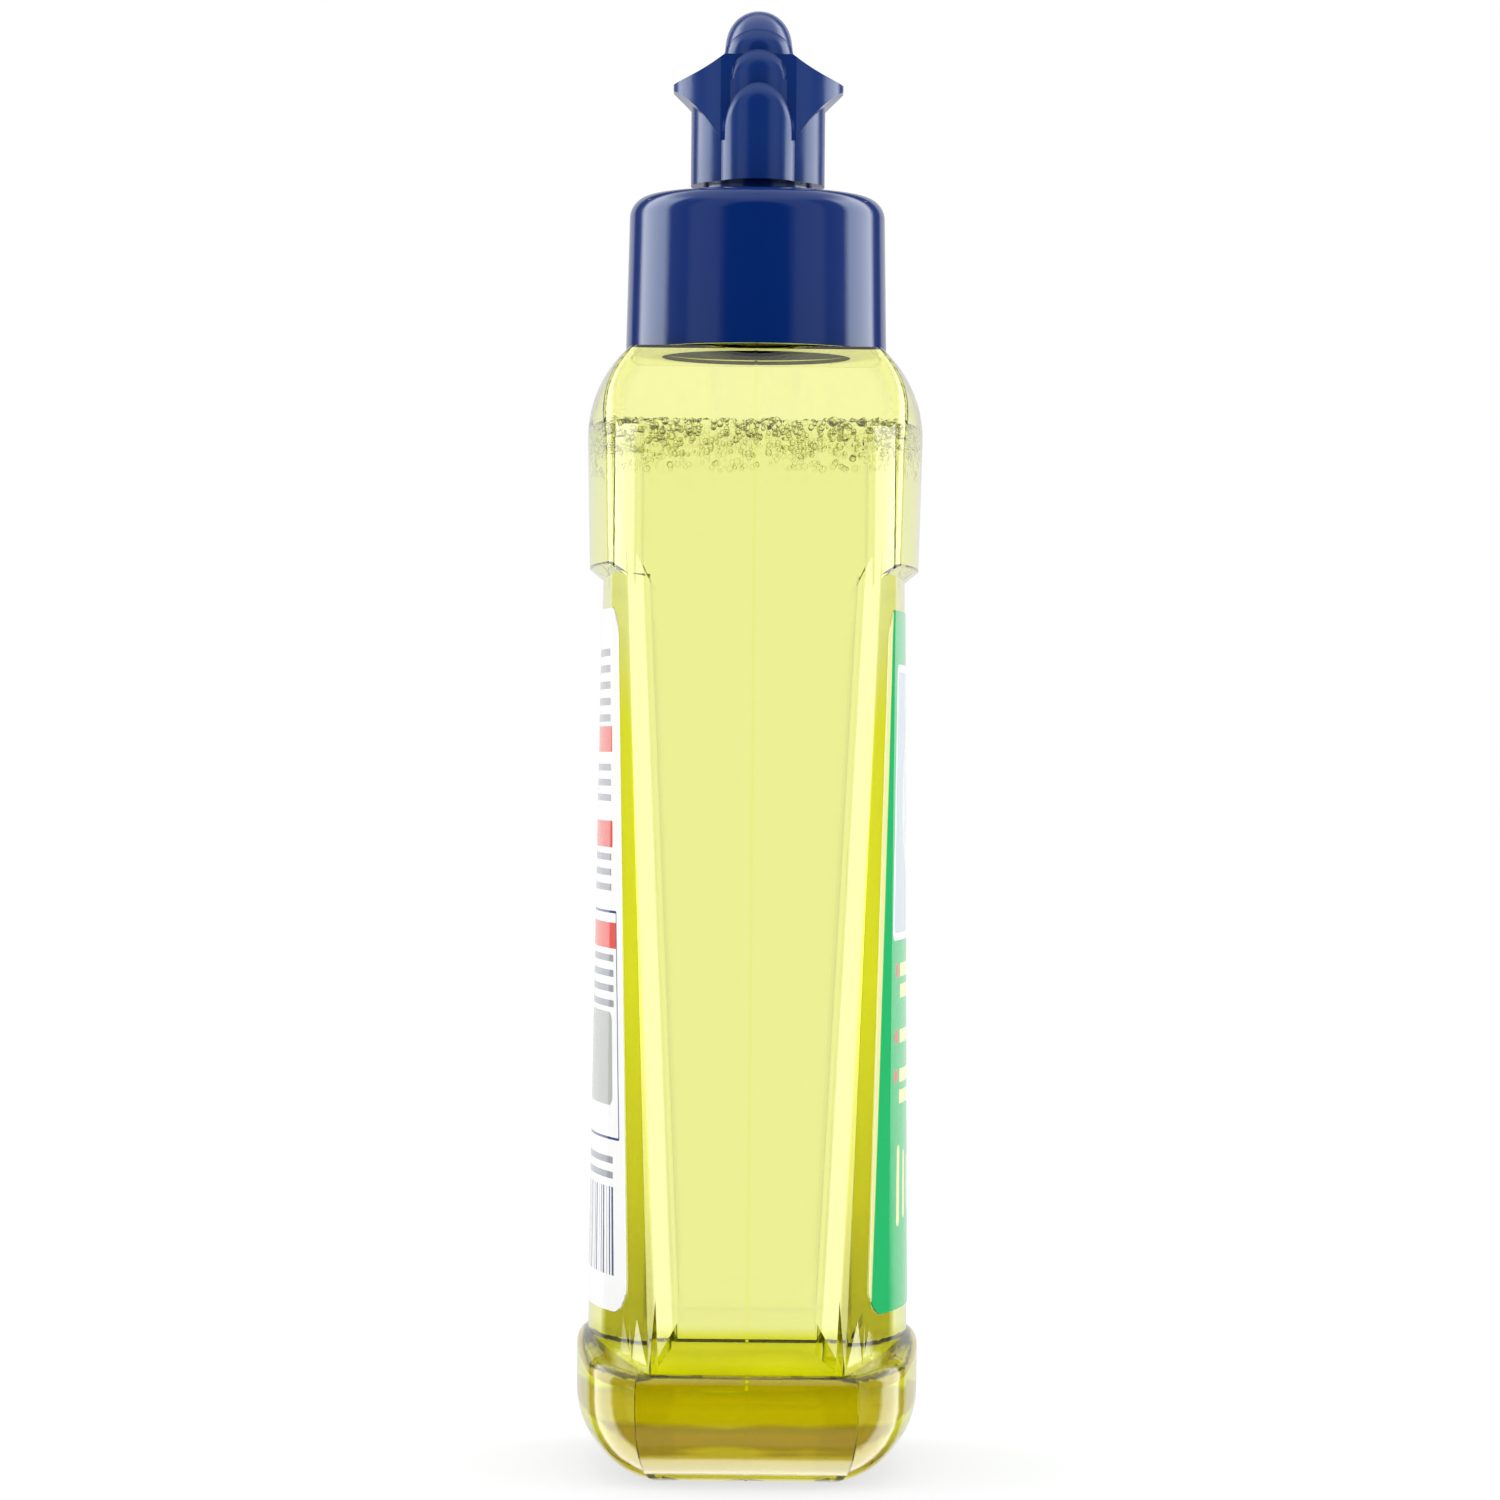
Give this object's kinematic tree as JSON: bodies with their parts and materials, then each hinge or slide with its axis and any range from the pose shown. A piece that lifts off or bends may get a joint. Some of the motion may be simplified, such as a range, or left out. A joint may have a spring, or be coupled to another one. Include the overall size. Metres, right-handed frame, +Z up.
{
  "type": "rinse aid bottle",
  "caption": "Clear flat-shouldered bottle of yellow-green rinse aid, two labels, screw closure with a smooth skirt and a push-pull pouring beak with finger wings.",
  "frame": {"origin": "middle of the base, on the surface that the bottle stands on", "axes": "+Z up; the front label looks along -Y and the back label along +Y; +X is the way the beak points, along the bottle's width"},
  "size_m": [0.0696, 0.0552, 0.2363],
  "materials": {
    "clear_bottle": "clear blown plastic, glossy",
    "rinse_aid_liquid": "clear yellow-green liquid",
    "front_label_film": "printed film, semi-gloss",
    "back_label_film": "printed film, semi-gloss",
    "blue_closure": "moulded polypropylene, glossy",
    "blue_spout": "moulded polyethylene, satin gloss",
    "white_foam": "closed-cell foam wad"
  },
  "bodies": {
    "bottle_body": {"bottle": "clear_bottle", "rinse_aid": "rinse_aid_liquid", "front_label": "front_label_film", "back_label": "back_label_film"},
    "washer_body": {"sealing_washer": "white_foam"},
    "closure_body": {"closure": "blue_closure"},
    "spout_body": {"pull_spout": "blue_spout"}
  },
  "joints": [
    {"name": "closure_lift", "type": "slide", "parent": "bottle_body", "child": "washer_body", "axis": [0, 0, 1], "range_m": [0, 0.0064]},
    {"name": "closure_turn", "type": "hinge", "parent": "washer_body", "child": "closure_body", "pos_m": [0, 0, 0.195], "axis": [0, 0, 1], "range_deg": [0, 540]},
    {"name": "spout_pull", "type": "slide", "parent": "closure_body", "child": "spout_body", "axis": [0, 0, 1], "range_m": [0, 0.005]}
  ],
  "couplings": [
    {"joint": "closure_lift", "follows": "closure_turn", "m_per_rad": 0.00067371}
  ]
}
